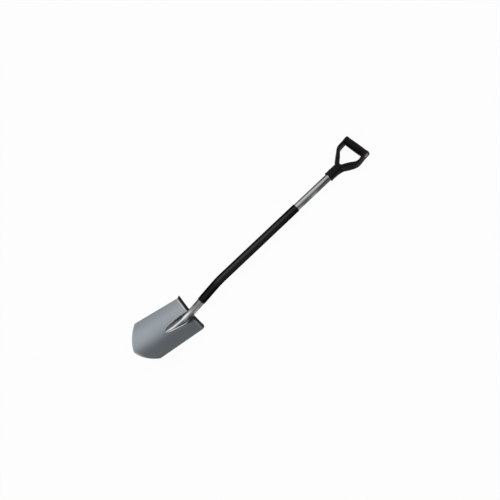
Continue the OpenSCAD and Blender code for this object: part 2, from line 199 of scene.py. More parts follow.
eye = to_row(np.array([49.0, -1171.0, 2011.0]))
right = turn_row([0.72576297, -0.61455781, -0.30917117])
up = turn_row([0.68546909, 0.60791533, 0.4007132])
right /= np.linalg.norm(right)
up = up - right * (up @ right)
up /= np.linalg.norm(up)
back = np.cross(right, up)
lens = bpy.data.cameras.new("camera")
lens.sensor_width, lens.lens = sensor_mm, sensor_mm * focal_px / frame_px
lens.shift_x, lens.shift_y = -0.001, 0.001
camera = bpy.data.objects.new("camera", lens)
stand = np.vstack([np.column_stack([right, up, back, eye]), [0, 0, 0, 1]])
camera.matrix_world = Matrix(stand.tolist())
bpy.context.scene.collection.objects.link(camera)
bpy.context.scene.camera = camera
bpy.context.scene.view_settings.view_transform = "Standard"
print("camera at", np.round(eye, 3), "lens", round(lens.lens, 2))

# %% [markdown]
# ## Floor and light
# Metal shows what is around it, so the light is what shapes it: a long soft light overhead, a weak
# fill at the right side, and a dim room that is darkest beyond the tip of the blade. Lamps could
# do that, but a world whose brightness changes smoothly with direction leaves no hard edges in the
# reflections. The floor is white to the camera and to reflections, and keeps a part of its
# shading, so that a faint shadow stays.

# %% Node helpers


def new_nodes(tree):
    """Empties a node tree and gives back four makers. One adds a node, one joins two sockets, one
    combines two sockets, or a socket and a number, by one step of arithmetic, and one maps a range
    of a value to another range, smoothly or evenly, and holds its ends."""
    tree.nodes.clear()
    join = tree.links.new

    def add(kind, **values):
        node = tree.nodes.new(kind)
        for key, value in values.items():
            setattr(node, key, value)
        return node

    def combine(operation, first, second):
        step = add("ShaderNodeMath", operation=operation)
        join(first, step.inputs[0])
        if isinstance(second, float):
            step.inputs[1].default_value = second
        else:
            join(second, step.inputs[1])
        return step.outputs[0]

    def ranged(value, low, high, at_low, at_high, kind="SMOOTHSTEP"):
        step = add("ShaderNodeMapRange", interpolation_type=kind)
        sockets = ("From Min", "From Max", "To Min", "To Max")
        for key, number in zip(sockets, (low, high, at_low, at_high)):
            step.inputs[key].default_value = number
        join(value, step.inputs["Value"])
        return step.outputs["Result"]

    return add, join, combine, ranged


print("node makers ready")

# %% World
world = bpy.data.worlds.new("studio")
bpy.context.scene.world = world
world.use_nodes = True
add, join, combine, ranged = new_nodes(world.node_tree)
where = add("ShaderNodeTexCoord")
parts = add("ShaderNodeSeparateXYZ")
join(where.outputs["Generated"], parts.inputs[0])
along, across = parts.outputs["X"], parts.outputs["Y"]

# The room: dimmer beyond the tip of the blade and at the right side.
room = combine("MULTIPLY", ranged(along, -0.9, 0.0, 0.23, 0.38),
               ranged(across, -0.9, -0.3, 0.6, 1.0))
# The light overhead: it fades at a slanted far edge, at its near edge and at both ends.
slant = combine("ADD", combine("MULTIPLY", along, 0.45), -0.225)
far = combine("ADD", across, slant)
far_edge = combine("MULTIPLY", ranged(far, 0.36, 0.66, 1.0, 0.0),
                   ranged(far, 0.10, 0.55, 1.0, 0.72))
near_edge = combine("MULTIPLY", ranged(across, -0.95, 0.25, 0.0, 1.0),
                    ranged(across, -0.05, 0.15, 0.9, 1.02))
ends = combine("MULTIPLY", ranged(along, -0.70, 0.15, 0.0, 1.0), ranged(along, 0.75, 1.0, 1.0, 0.2))
top = combine("MULTIPLY", ends, combine("MULTIPLY", far_edge, near_edge))
# The fill: low at the right side, towards the blade.
fill = combine("MULTIPLY", ranged(across, -0.5, 0.1, 0.2, 0.0), ranged(along, -0.3, 0.1, 1.0, 0.0))

sky = add("ShaderNodeBackground")
sky.inputs["Color"].default_value = (1, 1, 1, 1)
sky_out = add("ShaderNodeOutputWorld")
join(combine("ADD", combine("ADD", room, top), fill), sky.inputs["Strength"])
join(sky.outputs["Background"], sky_out.inputs["Surface"])
print("world ready,", len(world.node_tree.nodes), "nodes")

# %% Floor
floor_half, paper_tone, plain_share = 30, 0.82, 0.96
corners = [(x * floor_half, y * floor_half, 0) for x, y in ((-1, -1), (1, -1), (1, 1), (-1, 1))]
floor_mesh = bpy.data.meshes.new("floor")
floor_mesh.from_pydata(corners, [], [(0, 1, 2, 3)])
floor = bpy.data.objects.new("floor", floor_mesh)
bpy.context.scene.collection.objects.link(floor)
paper = bpy.data.materials.new("paper_floor")
paper.use_nodes = True
add, join, combine, _ = new_nodes(paper.node_tree)
paper_matt = add("ShaderNodeBsdfDiffuse")
paper_matt.inputs["Color"].default_value = (paper_tone, paper_tone, paper_tone, 1)
paper_white = add("ShaderNodeEmission")
rays = add("ShaderNodeLightPath").outputs
seen = combine("MAXIMUM", rays["Is Camera Ray"], rays["Is Glossy Ray"])
seen = combine("MAXIMUM", seen, rays["Is Transmission Ray"])
mix = add("ShaderNodeMixShader")
paper_out = add("ShaderNodeOutputMaterial")
join(combine("MULTIPLY", seen, plain_share), mix.inputs["Fac"])
join(paper_matt.outputs[0], mix.inputs[1])
join(paper_white.outputs[0], mix.inputs[2])
join(mix.outputs[0], paper_out.inputs["Surface"])
floor.data.materials.append(paper)
print("floor of", 2 * floor_half, "metres")

# %% [markdown]
# ## Finishes
# Blade, tube and weld are steel under a thin grey lacquer, the screw is zinc-plated, sleeve and
# handle are black plastic, the grip is soft rubber and the end plugs are brown plastic. Painted
# pictures could give their looks, but noise needs no unwrapping and holds at any distance. So every
# finish is one shader with noise in Object coordinates: a broad one for slow changes of colour and
# gloss, and a fine one for the skin's grain. Distances in the nodes are metres, so a scale of 400
# gives specks of about 2.5 mm. A mesh can also carry one number per point, which the same shader
# reads. At the blade's cutting edge it marks real wear. Everywhere else it is painted light and
# shade:
# lacquer made lighter where highlights fall and darker where shade falls.

# %% Finish helper
patch_share, dark_at, light_at, worn_and_lit_at = 0.6, 0.14, 0.39, 0.9
bump_strength, side_shade_share = 0.5, 0.02


def make_finish(name, painted_shade, dark, light, worn_and_lit, rough, patch_scale, grain_scale, grain_depth,
                stretch=(1, 1, 1), level=0.5, shaded_sides=False, **shader_values):
    """A shader whose colour runs from dark to light with a broad noise. Where the mesh carries a
    number above 0 it runs on to a bright colour, for spots where use has bared the metal and for
    painted highlights, and where the number is below 0 it runs to a dark colour, which is painted
    shade. The same noise moves the roughness, and a fine noise roughens the surface as a bump. With
    shaded sides, the specular level falls to almost nothing where the number is -1, which is
    painted shade as well."""
    finish = bpy.data.materials.new(name)
    finish.use_nodes = True
    add, join, combine, ranged = new_nodes(finish.node_tree)
    place = add("ShaderNodeTexCoord")
    drawn = add("ShaderNodeMapping")
    drawn.inputs["Scale"].default_value = stretch
    join(place.outputs["Object"], drawn.inputs["Vector"])

    def noise(scale, detail):
        cloud = add("ShaderNodeTexNoise")
        cloud.inputs["Scale"].default_value = scale
        cloud.inputs["Detail"].default_value = detail
        join(drawn.outputs["Vector"], cloud.inputs["Vector"])
        return cloud.outputs["Fac"]

    patches, grain = noise(patch_scale, 6.0), noise(grain_scale, 3.0)
    wear_and_painted_light = add("ShaderNodeAttribute", attribute_name="wear_and_painted_light").outputs["Fac"]
    tint = add("ShaderNodeValToRGB")
    stops = tint.color_ramp.elements
    stops[0].position, stops[1].position = dark_at, light_at
    stops[0].color, stops[1].color = (*dark, 1), (*light, 1)
    # The bright stop stands for bared metal and painted highlights; the dark stop at 0 is painted
    # shade.
    stops.new(worn_and_lit_at).color = (*worn_and_lit, 1)
    stops.new(0.0).color = (*painted_shade, 1)
    join(combine("ADD", combine("MULTIPLY", patches, patch_share), wear_and_painted_light), tint.inputs["Fac"])
    bump = add("ShaderNodeBump")
    bump.inputs["Strength"].default_value = bump_strength
    bump.inputs["Distance"].default_value = grain_depth
    join(grain, bump.inputs["Height"])
    shader = add("ShaderNodeBsdfPrincipled")
    shader.inputs["Specular IOR Level"].default_value = level
    # On shaded sides the specular level drops where the number is low, as painted shade.
    if shaded_sides:
        shaded_specular = ranged(wear_and_painted_light, -1.0, 0.0, side_shade_share * level, level, "LINEAR")
        join(shaded_specular, shader.inputs["Specular IOR Level"])
    for key, value in shader_values.items():
        shader.inputs[key.replace("_", " ")].default_value = value
    out = add("ShaderNodeOutputMaterial")
    join(tint.outputs["Color"], shader.inputs["Base Color"])
    join(ranged(patches, 0.3, 0.7, *rough, "LINEAR"), shader.inputs["Roughness"])
    join(bump.outputs["Normal"], shader.inputs["Normal"])
    join(shader.outputs["BSDF"], out.inputs["Surface"])
    print("finish", name)
    return finish


print("colour stops at", [0.0, dark_at, light_at, worn_and_lit_at])

# %% Metal finishes
steel, soot = (0.46, 0.47, 0.48), (0.02, 0.02, 0.021)
lacquered = dict(Metallic=0.92, Specular_Tint=(0.4, 0.4, 0.41, 1))
# Each lacquer's first colour is painted shade; its last serves bared steel and painted highlights.
blade_lacquer = make_finish(
    "blade_lacquer", painted_shade=(0.095, 0.10, 0.105), dark=(0.236, 0.262, 0.281),
    light=(0.256, 0.283, 0.303), worn_and_lit=steel, rough=(0.15, 0.21), patch_scale=30, grain_scale=700,
    grain_depth=0.00002, stretch=(0.25, 1, 1), **lacquered)
tube_lacquer = make_finish(
    "tube_lacquer", painted_shade=(0.106, 0.113, 0.12), dark=(0.345, 0.352, 0.36),
    light=(0.385, 0.392, 0.40), worn_and_lit=(0.68, 0.705, 0.725), rough=(0.15, 0.21), patch_scale=60,
    grain_scale=1200, grain_depth=0.00001, stretch=(0.3, 1, 1), **lacquered)
weld_lacquer = make_finish(
    "weld_lacquer", painted_shade=(0.08, 0.086, 0.092), dark=(0.14, 0.15, 0.16), light=(0.27, 0.28, 0.29),
    worn_and_lit=(0.66, 0.66, 0.67), rough=(0.36, 0.5), patch_scale=320, grain_scale=1500,
    grain_depth=0.00008, **lacquered)
screw_zinc = make_finish(
    "screw_zinc", painted_shade=soot, dark=(0.48, 0.48, 0.47), light=(0.60, 0.60, 0.58), worn_and_lit=steel,
    rough=(0.25, 0.4), patch_scale=400, grain_scale=2500, grain_depth=0.00002, Metallic=1.0)

# %% Plastic finishes
black, grey_dust = (0.0025, 0.0025, 0.0025), (0.045, 0.045, 0.045)
# The sleeve's dark first colour and its shaded sides, with a falling specular level, are painted
# shade.
sleeve_plastic = make_finish(
    "sleeve_plastic", painted_shade=black, dark=(0.0018, 0.0018, 0.002), light=(0.0032, 0.0032, 0.0034),
    worn_and_lit=grey_dust, rough=(0.20, 0.26), patch_scale=80, grain_scale=2200, grain_depth=0.00004,
    level=0.44, shaded_sides=True)
handle_plastic = make_finish(
    "handle_plastic", painted_shade=black, dark=(0.002, 0.002, 0.002), light=(0.0045, 0.0045, 0.0045),
    worn_and_lit=grey_dust, rough=(0.42, 0.55), patch_scale=140, grain_scale=1800, grain_depth=0.00008,
    level=0.15)
grip_rubber = make_finish(
    "grip_rubber", painted_shade=black, dark=(0.002, 0.002, 0.0022), light=(0.004, 0.004, 0.0043),
    worn_and_lit=grey_dust, rough=(0.5, 0.64), patch_scale=160, grain_scale=2600, grain_depth=0.00008,
    level=0.13)
cap_plastic = make_finish(
    "cap_plastic", painted_shade=(0.08, 0.04, 0.025), dark=(0.23, 0.125, 0.075),
    light=(0.28, 0.155, 0.095), worn_and_lit=(0.35, 0.24, 0.17), rough=(0.4, 0.5), patch_scale=200,
    grain_scale=1500, grain_depth=0.00003)

# %% [markdown]
# ## Blade
# The real blade is one pressed plate: dished across, folded forward along its top into the two
# treads, and cut to a blunt point. The fold stops short of a right angle, so the treads lean out a
# little, and between them a notch follows the tube. It could be a bent box, but a pressed plate is
# better thought of as one path, from the edge of a tread round the fold and down to the cutting
# edge, repeated for every place across the width. The plate's half thickness is laid off on both
# sides of the path and dies away at the edges, which rounds them; towards the point it thins to a
# ground edge.

# %% Blade outline
blade_top_half, blade_low_half, blade_side_len = 96.0, 101.0, 216.0
point_r, tip_round, dish_r = 195.0, 5.0, 260.0
tread_corner_r, notch_r, notch_low = 9.0, 15.7, 0.3


def circle_height(r, aside):
    """How far a circle of radius r rises above its middle, aside of it by a distance; 0 past its
    rim."""
    return np.sqrt(np.maximum(r ** 2 - aside ** 2, 0))


def tread_height(y):
    """Height of the plate's top edge above the dish: full at the treads, rounded at their outer
    corners, and following the tube's circle under the tube."""
    away = np.abs(y)
    full = tread_reach - plate_half
    under = np.clip(notch_r - circle_height(notch_r, away), notch_low, full)
    inner = np.where(away < notch_r, under, full)
    past = np.clip(away - (blade_top_half - tread_corner_r), 0, tread_corner_r)
    outer = full - tread_corner_r + circle_height(tread_corner_r, past)
    return np.minimum(inner, outer)


def blade_end(y):
    """Lower edge: two arcs of one radius from the lower corners to the tip, which is a little
    rounded."""
    y = np.hypot(y, tip_round)
    a, b = np.array([-blade_side_len, blade_low_half]), np.array([-blade_len, 0.0])
    chord = np.hypot(*(b - a))
    inwards = np.array([blade_low_half, blade_side_len - blade_len]) / chord
    cx, cy = (a + b) / 2 + circle_height(point_r, chord / 2) * inwards
    return np.maximum(cx - circle_height(point_r, y - cy), -blade_len)


def dish_face(y):
    """Height of the blade's hollow face across its width: the dish's circle, half a plate
    inside."""
    return dish_r - np.sqrt((dish_r - plate_half) ** 2 - y ** 2)


print("edge above the dish: notch", tread_height(0.0), "tread", tread_height(blade_top_half / 2))

# %% Places across the blade
edge_round = 0.9


def ramp(distance, width):
    """0 up to an edge, rising evenly to 1 at the given distance past it."""
    return np.clip(distance / width, 0, 1)


def eased(distance, width):
    """0 at an edge, rising as a quarter circle to 1 at the given distance from it."""
    return np.sqrt(1 - (1 - ramp(distance, width)) ** 2)


by_notch = np.linspace(0.13, 0.26, 27)
across = np.concatenate([np.linspace(-1, 1, 141), by_notch, -by_notch])
rim = 1 - edge_round / blade_top_half * (1 - np.sin(quarter(7)))
across = np.concatenate([across[np.abs(across) < rim[0]], rim, -rim])
across = np.unique(np.round(across, 6))[:, None]
side_ease = eased((1 - np.abs(across)) * blade_top_half, edge_round)
print("places across the blade:", len(across))

# %% Treads and fold
fold_mid_r, fold_angle = fold_r + plate_half, np.radians(70.0)
height = tread_height(across * blade_top_half)
bent_up = fold_mid_r * (1 - np.cos(fold_angle))
within_bend = fold_mid_r * np.arccos(np.clip(1 - height / fold_mid_r, -1, 1))
past_bend = fold_mid_r * fold_angle + (height - bent_up) / np.sin(fold_angle)
length = np.where(height < bent_up, within_bend, past_bend)
edge_steps = np.array([0, 0.03, 0.11, 0.27, 0.5, edge_round])
even_steps = edge_round + (length - edge_round) * np.linspace(0, 1, 28)[None, 1:]
run = np.concatenate([edge_steps[None, :] + 0 * length, even_steps], 1)
left = np.maximum(length - run, 0)
angle = np.minimum(left / fold_mid_r, fold_angle)
flat = np.maximum(left - fold_mid_r * fold_angle, 0)
fold_rho = dish_r - fold_mid_r + fold_mid_r * np.cos(angle) - flat * np.sin(fold_angle)
fold_x = -fold_out_r + fold_mid_r * np.sin(angle) + flat * np.cos(fold_angle)
fold_in = np.stack([-np.cos(angle), -np.sin(angle)], -1)
fold_half = plate_half * eased(run, edge_round) * side_ease
print("longest path over fold and tread", length.max().round(2))

# %% Plate below the fold
ground_width, ground_left, end_zone = 7.0, 0.35, 10.0
plain = np.linspace(0, 1, 76)[None, 1:]
end_x = blade_end(across * blade_low_half)
end_steps = np.concatenate([[9.0, 7.5, 6.0, 4.5, 3.0, 1.8], edge_steps[::-1]])
plate_x = np.concatenate([-fold_out_r + (end_x + end_zone + fold_out_r) * plain,
                          end_x + end_steps[None, :]], 1)
to_end = plate_x - end_x
ground = ground_left + (1 - ground_left) * ramp(to_end, ground_width)
plate_half_now = plate_half * ground * eased(to_end, edge_round) * side_ease
plate_rho = np.full_like(plate_x, dish_r)
plate_in = np.stack([-np.ones_like(plate_x), np.zeros_like(plate_x)], -1)
print("the cutting edge lies between", end_x.min().round(1), "and", end_x.max().round(1))

# %% Blade surface
rho = np.concatenate([fold_rho, plate_rho], 1)
along = np.concatenate([fold_x, plate_x], 1)
inwards = np.concatenate([fold_in, plate_in], 1)
half_t = np.concatenate([fold_half, plate_half_now], 1)
side = ramp(-along, blade_side_len)
wide = across * (blade_top_half + (blade_low_half - blade_top_half) * side)


def plate_side(sign):
    """Points of one face of the plate: the path moved by the half thickness, then bent to the
    dish."""
    r = rho + sign * half_t * inwards[..., 0]
    x = along + sign * half_t * inwards[..., 1]
    return from_blade(x, wide, dish_r - np.sqrt(r ** 2 - wide ** 2))


both_sides = np.concatenate([plate_side(1), plate_side(-1)[:, ::-1]], 1)
blade = make_piece("blade_plate", [both_sides], "blade", blade_lacquer,
                   sharp=55, around=False)

# %% Blade wear and painted light


def bell(distance, width):
    """1 at a place, falling off to both sides as a bell curve of the given width."""
    return np.exp(-(distance / width) ** 2)


def set_wear_and_light(piece, value):
    """Stores one number per point of a mesh, from -1 for painted shade over 0 to 1 for bared metal
    and painted highlights, worked out from its points in the row frame in millimetres and from its
    normals."""
    points, normals = np.empty((2, len(piece.data.vertices) * 3), np.float32)
    piece.data.vertices.foreach_get("co", points)
    piece.data.vertex_normals.foreach_get("vector", normals)
    wear_and_painted_light = piece.data.attributes.new("wear_and_painted_light", "FLOAT", "POINT")
    amount = np.clip(value(points.reshape(-1, 3) * 1000.0, normals.reshape(-1, 3)), -1, 1)
    wear_and_painted_light.data.foreach_set("value", amount.astype(np.float32))
    print(piece.name, "wear from", amount.min().round(2), "to", amount.max().round(2))


def blade_wear_and_light(points, normals):
    """Marks of use and painted light on the blade: the cutting edge bared bright by use; a painted
    highlight in a line where the fold begins, and painted light on the fold beside the tube, where
    the tube shades it. Painted shade darkens the left tread and painted light brightens the right
    one."""
    x, y, z = row_to_blade(points)
    above = z - dish_face(y)
    cutting = 0.35 * np.exp(-np.maximum(x - blade_end(y), 0) / 3.0)
    # Painted highlight along the start of the fold, weaker on the right side.
    line = 0.55 * bell(x + fold_out_r - 0.5, 3.0) * np.exp(-np.maximum(above, 0))
    line = line * ramp(np.abs(y) + 15, 90) * np.where(y < 0, 0.5, 1)
    # Painted shade on the left tread and painted light on the right one.
    treads = np.where(y < 0, 0.25, -0.36) * ramp(above - 0.8, 1.6)
    # Painted light on the fold beside the tube, where the tube shades it.
    by_tube = 0.4 * bell(y + 22, 9) * ramp(x + 12, 6)
    return cutting + by_tube + line + treads


set_wear_and_light(blade, blade_wear_and_light)

# %% [markdown]
# ## Tube and tongue
# One steel tube is cranked once, bent again at the blade, and its lower end is pressed into a
# tongue that lies on the blade. It could be a bent cylinder with its end scaled flat, but the
# pressed end has a shape of its own: a ridge that runs out along the tongue, a little to the right
# of its middle, and a leaf-shaped outline. So the tube is a sweep of circles square to its centre
# line, and the tongue a loft of sections between a crest line and a foot line.

# %% Tube centre line
upper_steps, lower_steps, turn = 40, 10, full_turn(72)


def crank_path(top, low, bend_steps=20):
    """Side view of the centre line from a place above the crank to one below it, with the front
    normals: a straight run, an arc of the crank's radius, and a straight run."""
    phi = np.linspace(0, crank_angle, bend_steps)
    upper = np.linspace(top, crank_run, upper_steps + 1)[:-1, None] * np.array([1.0, 0.0])
    arc = np.column_stack([crank_run - crank_r * np.sin(phi), crank_r * (np.cos(phi) - 1)])
    lower = np.linspace(crank_run, low, lower_steps + 1)[1:, None] * down_dir
    lean = np.concatenate([np.zeros(upper_steps), phi, np.full(lower_steps, crank_angle)])
    return np.concatenate([upper, arc, lower]), np.column_stack([-np.sin(lean), np.cos(lean)])


def rings(centre, normal, radius):
    """Circles about the points of a side-view path, spanned by Y and the path's front normal."""
    radius = np.broadcast_to(np.asarray(radius, float), (len(centre),))[:, None]
    up = radius * np.sin(turn)
    along, high = centre[:, :1] + up * normal[:, :1], centre[:, 1:] + up * normal[:, 1:]
    return np.stack([along, radius * np.cos(turn), high], -1)


print("the crank's bend starts", crank_run.round(1), "from its corner")

# %% Crest and foot of the tongue
neck_start, tongue_root, tongue_len, tip_stop = 30.0, 21.4, 128.0, 0.9997
crest_pull, crest_rest, crest_low, tip_high = 52.0, 45.0, 6.0, 2.0
foot_round, floor_gap, floor_round = 2.0, 0.4, 0.7
leaf_out, leaf_in, leaf_from, leaf_run = 6.0, 11.5, 4.0, 46.0
upright_from, upright_run = 0.15, 0.6
neck_up = np.array([-np.sin(neck_turn), np.cos(neck_turn)])
neck_axis = np.array([neck_start * np.cos(neck_turn) - tread_rise,
                      neck_start * np.sin(neck_turn) + tongue_base + tube_r])
crest_from, foot_from = neck_axis + tube_r * neck_up, neck_axis - tube_r * neck_up
crest_bars = np.array([crest_from, crest_from - crest_pull * np.array([1.0, np.tan(neck_turn)]),
                       [crest_rest - tongue_len, tongue_base + crest_low],
                       [-tongue_len, tongue_base + tip_high]])


def eased_step(v):
    """A smooth rise from 0 to 1."""
    v = np.clip(v, 0, 1)
    return v * v * (3 - 2 * v)


def larger(a, b, rounding):
    """The larger of two heights, with a rounded corner where they cross."""
    return (a + b + np.hypot(a - b, rounding)) / 2


def tongue_line(t):
    """Crest, foot, half width and share of the flat run, by a parameter from 0 at the straight tube
    to 1 at the tip. The crest is a Bezier curve that leaves along the tube and ends along the
    blade. The foot runs down the underside of the tube and along the plate, always above the
    floor; the sections between them turn until they stand on the plate."""
    t = t[:, None]
    crest = ((1 - t) ** 3 * crest_bars[0] + 3 * t * (1 - t) ** 2 * crest_bars[1]
             + 3 * t ** 2 * (1 - t) * crest_bars[2] + t ** 3 * crest_bars[3])
    slanted = 1 - eased_step((t - upright_from) / upright_run)
    foot_x = crest[:, :1] + (foot_from[0] - crest_from[0]) * slanted
    above = foot_x - foot_from[0] + (foot_from[1] - tongue_base) / np.tan(neck_turn)
    foot_z = tongue_base + np.tan(neck_turn) * larger(above, 0, foot_round)
    ground = (foot_x * (tip_dir @ lie_z) - blade_at @ lie_z + floor_z) / (front_dir @ lie_z)
    foot = np.concatenate([foot_x, larger(foot_z, ground + floor_gap, floor_round)], 1)
    q = ramp(-foot_x - tongue_root, tongue_len - tongue_root)
    leaf = leaf_out * eased_step((leaf_from - foot_x) / leaf_run) - leaf_in * q
    return crest, foot, (tube_r + leaf) * np.sqrt(1 - q ** 5), q


crest, foot, half, q = tongue_line(np.linspace(0, tip_stop, 200))
print("tongue at its widest", (2 * half.max()).round(1), "lowest foot", foot[:, 1].min().round(2))

# %% Sections of the tongue
ridge_share, ridge_aside, tip_aside, ridge_round = 0.72, 0.36, 0.25, 0.06
tip_from, tip_left = 0.9, 0.02


def widest_line(crest, foot, q):
    """Height of a section from foot to crest, and of its widest line: half way up at the tube,
    sinking to a fifth over the first quarter of the flat run."""
    tall = np.linalg.norm(crest - foot, axis=1, keepdims=True)
    return tall, tall * (0.5 - 0.3 * eased_step(q / 0.25))


def tongue_rings(t):
    """Two half ellipses on a common widest line between foot and crest. Along the tongue the upper
    one sharpens into a ridge with a rounded top, which moves to the right of the middle, and at
    the tip it rounds off."""
    crest, foot, half, q = tongue_line(t)
    tall, widest = widest_line(crest, foot, q)
    stand = (crest - foot) / tall
    ridge = ridge_share * eased_step((-foot[:, :1] - leaf_from) / leaf_run)
    offset = ridge_aside * ridge + tip_aside * q ** 2
    from_crest = np.cos(turn) + offset
    away = from_crest / (1 + offset * np.sign(from_crest))
    top, edge = np.sqrt(ridge_round), np.sqrt(1 + ridge_round)
    roof = 1 - (np.sqrt(away ** 2 + ridge_round) - top) / (edge - top)
    bow = (1 - ridge) * np.abs(np.sin(turn)) + ridge * roof
    fall = np.sqrt(np.clip(1 - ramp(q - tip_from, 1 - tip_from) ** 2, tip_left, 1))
    rise = (tall - widest) * fall
    height = widest + np.where(np.sin(turn) >= 0, rise * bow, widest * np.sin(turn))
    return from_blade(foot[:, :1] + height * stand[:, :1], half * np.cos(turn),
                      foot[:, 1:] + height * stand[:, 1:])


tall, widest = widest_line(crest, foot, q)
print("sections stand", tall[0, 0].round(1), "at the tube and", tall[-1, 0].round(1), "at the tip")

# %% Tube surface
tube_end, tongue_from, tongue_fine = 46.0, 0.015, 0.7
tongue_t = np.concatenate([np.linspace(tongue_from, tongue_fine, 60),
                           tongue_fine + (tip_stop - tongue_fine) * np.sin(quarter(40)[1:])])
body = rings(*crank_path(upper_run + tube_end, lower_run - neck_start), tube_r)
tube = make_piece("steel_tube", [capped(np.concatenate([body, tongue_rings(tongue_t)]))],
                  "shaft_tube", tube_lacquer)


def tube_painted_light(points, normals):
    """Painted light of the tube: a painted highlight along the ridge of the tongue and painted
    shade on either side of it; painted shade on the sides of the tube, more at its low end and by
    the socket, and a painted highlight in a line along its top."""
    x, y, z = row_to_blade(points)
    n_y, n_z = normals[:, 1], normals[:, 2]
    on_tongue = ramp(5 - x, 25) * (x > -tongue_len - 2) * (z > 3)
    # Painted highlight on the tongue's ridge, right of its middle, and painted shade beside it.
    crest_y = -3.2 - 3.5 * ramp(-x - 60, 60) ** 2
    flank_shade = np.where(y > crest_y, 0.3, 0.25 - 0.17 * ramp(-x - 85, 35))
    ridge_light_and_flank_shade = 0.85 * bell(y - crest_y, 5.0) - flank_shade * ramp(np.abs(y - crest_y) - 5, 4)
    # Painted shade on both sides of the tube, at its low end and next to the socket.
    right_side = 0.24 * ramp(0.8 - n_z, 0.3) * (n_y < 0) * np.clip((x + 60) / 300, 0.4, 1)
    left_side = 0.28 * ramp(n_y - 0.15, 0.35)
    low_end = ramp(120 - x, 20) * (0.08 + 0.22 * ramp(n_y + 0.3, 0.4) + 0.06 * (n_y < -0.5))
    by_socket = 0.2 * ramp(points[:, 0] - 365, 40)
    # Painted highlight along the top of the upper tube.
    top_highlight = 0.2 * bell(n_y + 0.05, 0.2) * (n_z > 0) * ramp(x - 300, 100)
    shaded = ramp(x, 30) * (right_side + left_side + low_end + by_socket)
    return on_tongue * ridge_light_and_flank_shade + top_highlight - shaded


set_wear_and_light(tube, tube_painted_light)

# %% [markdown]
# ## Weld
# The tongue is welded to the blade all round. A bevelled curve could lie there, but a weld is a row
# of frozen ripples that fills the corner between two surfaces. So a quarter-round bead is carried
# along the edge of the tongue, from the tongue's side down to the dish. It swells with every
# ripple, tapers at both ends and is wider on the left side.

# %% Weld path
bead_w, far_extra, far_run, bead_h, bead_gap = 3.5, 2.2, 12.0, 3.5, 0.05
bead_from, bead_steps = 0.29, 150
bead_t = bead_from + (tip_stop - bead_from) * np.sin(quarter(bead_steps))
bead_t = np.concatenate([bead_t, bead_t[-2::-1]])
bead_side = np.concatenate([np.ones(bead_steps), -np.ones(bead_steps - 1)])[:, None]


def bead_foot(t):
    """Where the bead meets the tongue, along it and across it, and how high it stands there: no
    higher than the widest line."""
    crest, foot, half, q = tongue_line(t)
    _, widest = widest_line(crest, foot, q)
    top = np.minimum(bead_h, widest)
    aside = half * np.sqrt(1 - ((widest - top) / widest) ** 2)
    return np.concatenate([foot[:, :1], bead_side * aside], 1), top


def walked(path):
    """Distance walked along a row of points, from its start."""
    return np.concatenate([[0], np.cumsum(np.linalg.norm(np.diff(path, axis=0), axis=1))])


foot, foot_top = bead_foot(bead_t)
tangent = np.gradient(foot, axis=0)
tangent /= np.linalg.norm(tangent, axis=1, keepdims=True)
outward = np.column_stack([tangent[:, 1], -tangent[:, 0]])
travel = walked(foot)[:, None]
print("length of the weld", travel[-1, 0].round(1))

# %% Weld bead
ripple, ripple_part, ripple_bow, wander = 3.2, 0.04, 1.6, 7.0
taper_left, taper_run = 0.12, 14.0
arc = quarter(9)[None, :]
wave = np.sin(2 * np.pi * (travel + ripple_bow * np.cos(arc)) / ripple)
ripples = 1 - ripple_part + ripple_part * wave * np.sin(travel / wander + 1)
to_ends = eased_step(np.minimum(travel, travel[-1] - travel) / taper_run)
swell = ripples * (taper_left + (1 - taper_left) * to_ends)
wide_now = bead_w + far_extra * eased_step(foot[:, 1:] / far_run)
out = bead_gap + wide_now * swell * np.sin(arc)
rise = bead_gap + (foot_top - 2 * bead_gap) * swell * np.cos(arc)
bead_xy = foot[:, None, :] + out[..., None] * outward[:, None, :]
on_dish = dish_face(bead_xy[..., 1]) + bead_gap
bead_z = np.where(arc < np.pi / 2, np.maximum(on_dish, tongue_base + rise), on_dish)
bead_top = from_blade(bead_xy[..., 0], bead_xy[..., 1], bead_z)
low_x, low_y = (foot + bead_gap * outward).T
bead_low = from_blade(low_x, low_y, dish_face(low_y) + bead_gap)[:, None, :]
weld = make_piece("weld_bead", [capped(np.concatenate([bead_top, bead_low], 1))],
                  "weld_seam", weld_lacquer, sharp=70)


def weld_painted_light(points, normals):
    """Painted light of the weld: a painted highlight on the right side and round the tip, painted
    shade on the other side."""
    x, y, _ = row_to_blade(points)
    # Painted highlight on the bead's right side, painted shade on its left.
    return np.clip((2 - y) / 8, -0.35, 0.6) * ramp(-x - 16, 12)


set_wear_and_light(weld, weld_painted_light)

# %% [markdown]
# ## Sleeve
# A plastic sleeve is shrunk over the crank and the lower half of the tube. A copy of the tube could
# be thickened, but a sleeve has a wall and soft ends of its own. So the same centre line is walked
# again: the outside runs down, turns round a rounded end, and comes back up inside.

# %% Sleeve
sleeve_in, sleeve_out, sleeve_up, sleeve_down = 16.15, 18.15, 448.0, 110.0
wall_mid, wall_half = (sleeve_in + sleeve_out) / 2, (sleeve_out - sleeve_in) / 2
path, lean = crank_path(sleeve_up, sleeve_down, 40)
passed = walked(path)
whole = passed[-1]


def along_crank(at):
    """Centre line and front normals at given distances from the sleeve's upper end, read off
    between the points of the path."""
    centre = np.column_stack([np.interp(at, passed, path[:, k]) for k in (0, 1)])
    normal = np.column_stack([np.interp(at, passed, lean[:, k]) for k in (0, 1)])
    return centre, normal / np.linalg.norm(normal, axis=1, keepdims=True)


